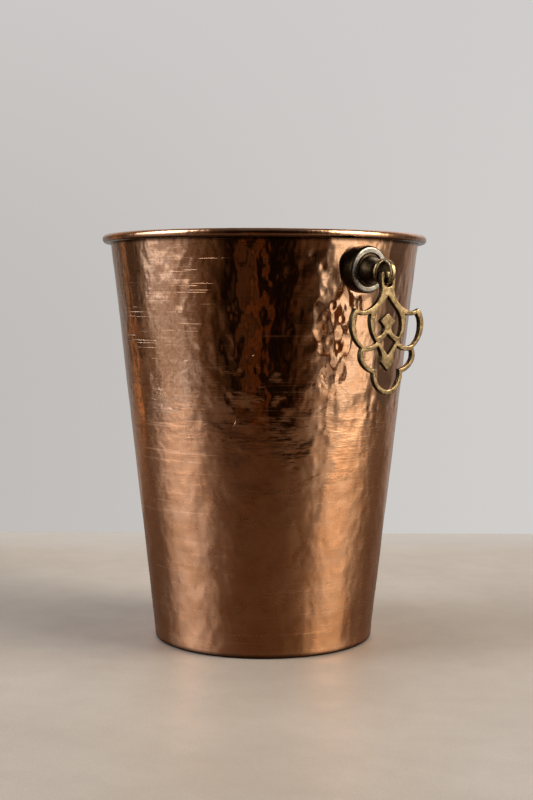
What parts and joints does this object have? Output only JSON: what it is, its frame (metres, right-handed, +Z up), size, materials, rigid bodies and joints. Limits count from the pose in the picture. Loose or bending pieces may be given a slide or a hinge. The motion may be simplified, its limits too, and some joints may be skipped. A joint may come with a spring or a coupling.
{
  "type": "ice bucket",
  "caption": "Tapered hammered copper ice bucket with a rolled wire rim and hanging pierced brass ornaments as handles on round bosses.",
  "frame": {"origin": "centre of the circle that the bucket stands on, on the standing plane", "axes": "+Z up along the bucket's axis; the two handles are on +X and -X; Y runs across them"},
  "size_m": [0.23, 0.19, 0.2369],
  "materials": {
    "hammered_copper": "hammered and turned copper, polished above and satin below",
    "steel_wire": "drawn",
    "dark_bronze": "dark patinated turned bronze with a rubbed silvery face",
    "antique_brass": "antiqued cast brass with rubbed edges",
    "plain_brass": "satin",
    "gasket_rubber": "matte"
  },
  "bodies": {
    "bucket": {"bucket_shell": "hammered_copper", "rim_wire": "steel_wire", "handle_boss_right": "dark_bronze", "neck_spool_right": "dark_bronze", "eye_bolt_right": "antique_brass", "wall_gasket_right": "gasket_rubber", "nut_washer_right": "plain_brass", "cap_nut_right": "plain_brass", "handle_boss_left": "dark_bronze", "neck_spool_left": "dark_bronze", "eye_bolt_left": "antique_brass", "wall_gasket_left": "gasket_rubber", "nut_washer_left": "plain_brass", "cap_nut_left": "plain_brass"},
    "ornament_right": {"pendant_right": "antique_brass"},
    "ornament_left": {"pendant_left": "antique_brass"}
  },
  "joints": [
    {"name": "ornament_right_swing", "type": "hinge", "parent": "bucket", "child": "ornament_right", "pos_m": [0.10808, 0, 0.21405], "axis": [0, -1, 0], "range_deg": [0, 85]},
    {"name": "ornament_left_swing", "type": "hinge", "parent": "bucket", "child": "ornament_left", "pos_m": [-0.10808, 0, 0.21405], "axis": [0, 1, 0], "range_deg": [0, 85]}
  ]
}
